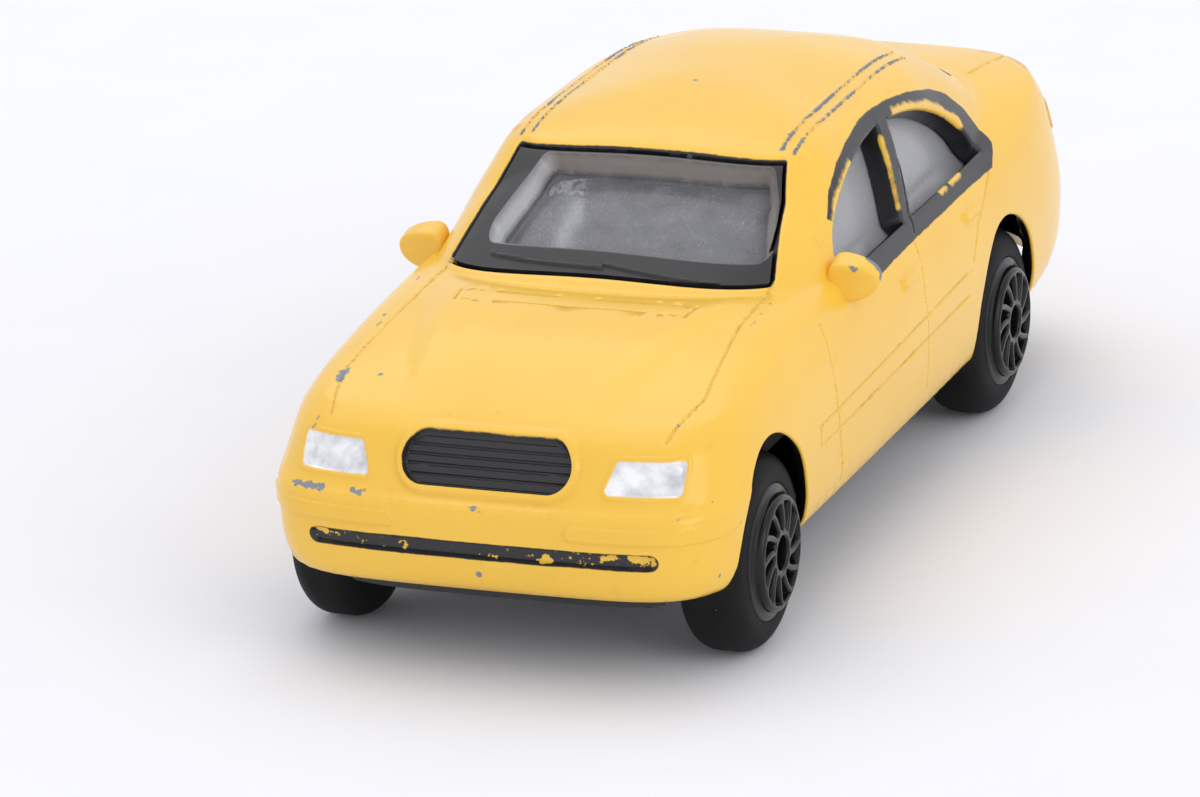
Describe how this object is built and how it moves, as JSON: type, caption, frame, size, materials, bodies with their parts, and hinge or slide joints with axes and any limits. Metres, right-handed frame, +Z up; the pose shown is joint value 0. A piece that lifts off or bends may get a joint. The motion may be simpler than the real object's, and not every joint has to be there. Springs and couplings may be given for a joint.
{
  "type": "toy saloon car",
  "caption": "Die-cast toy saloon car: cast body with clear glazing, moulded seats, riveted base plate and free-running wheelsets.",
  "frame": {"origin": "on the ground under the middle of the car, between the four tyres", "axes": "+Z up, the nose points to -Y, the car's left side is +X"},
  "size_m": [0.0292, 0.0698, 0.0241],
  "materials": {
    "paint": "gloss yellow enamel over zinc, worn at the edges",
    "glazing": "clear styrene, hazed by scratches",
    "interior": "light grey moulding",
    "base": "black moulding",
    "steel": "drawn wire",
    "hub": "gloss black moulding",
    "tyre": "matt black"
  },
  "bodies": {
    "car": {"body_shell": "paint", "glazing": "glazing", "interior_tub": "interior", "base_plate": "base", "front_rivet": "steel", "rear_rivet": "steel"},
    "front_wheelset": {"front_axle": "steel", "front_left_hub": "hub", "front_right_hub": "hub", "front_left_tyre": "tyre", "front_right_tyre": "tyre"},
    "rear_wheelset": {"rear_axle": "steel", "rear_left_hub": "hub", "rear_right_hub": "hub", "rear_left_tyre": "tyre", "rear_right_tyre": "tyre"}
  },
  "joints": [
    {"name": "front_axle_spin", "type": "hinge", "parent": "car", "child": "front_wheelset", "pos_m": [0, -0.02505, 0.0056], "axis": [1, 0, 0], "continuous": true},
    {"name": "rear_axle_spin", "type": "hinge", "parent": "car", "child": "rear_wheelset", "pos_m": [0, 0.01735, 0.0056], "axis": [1, 0, 0], "continuous": true}
  ]
}
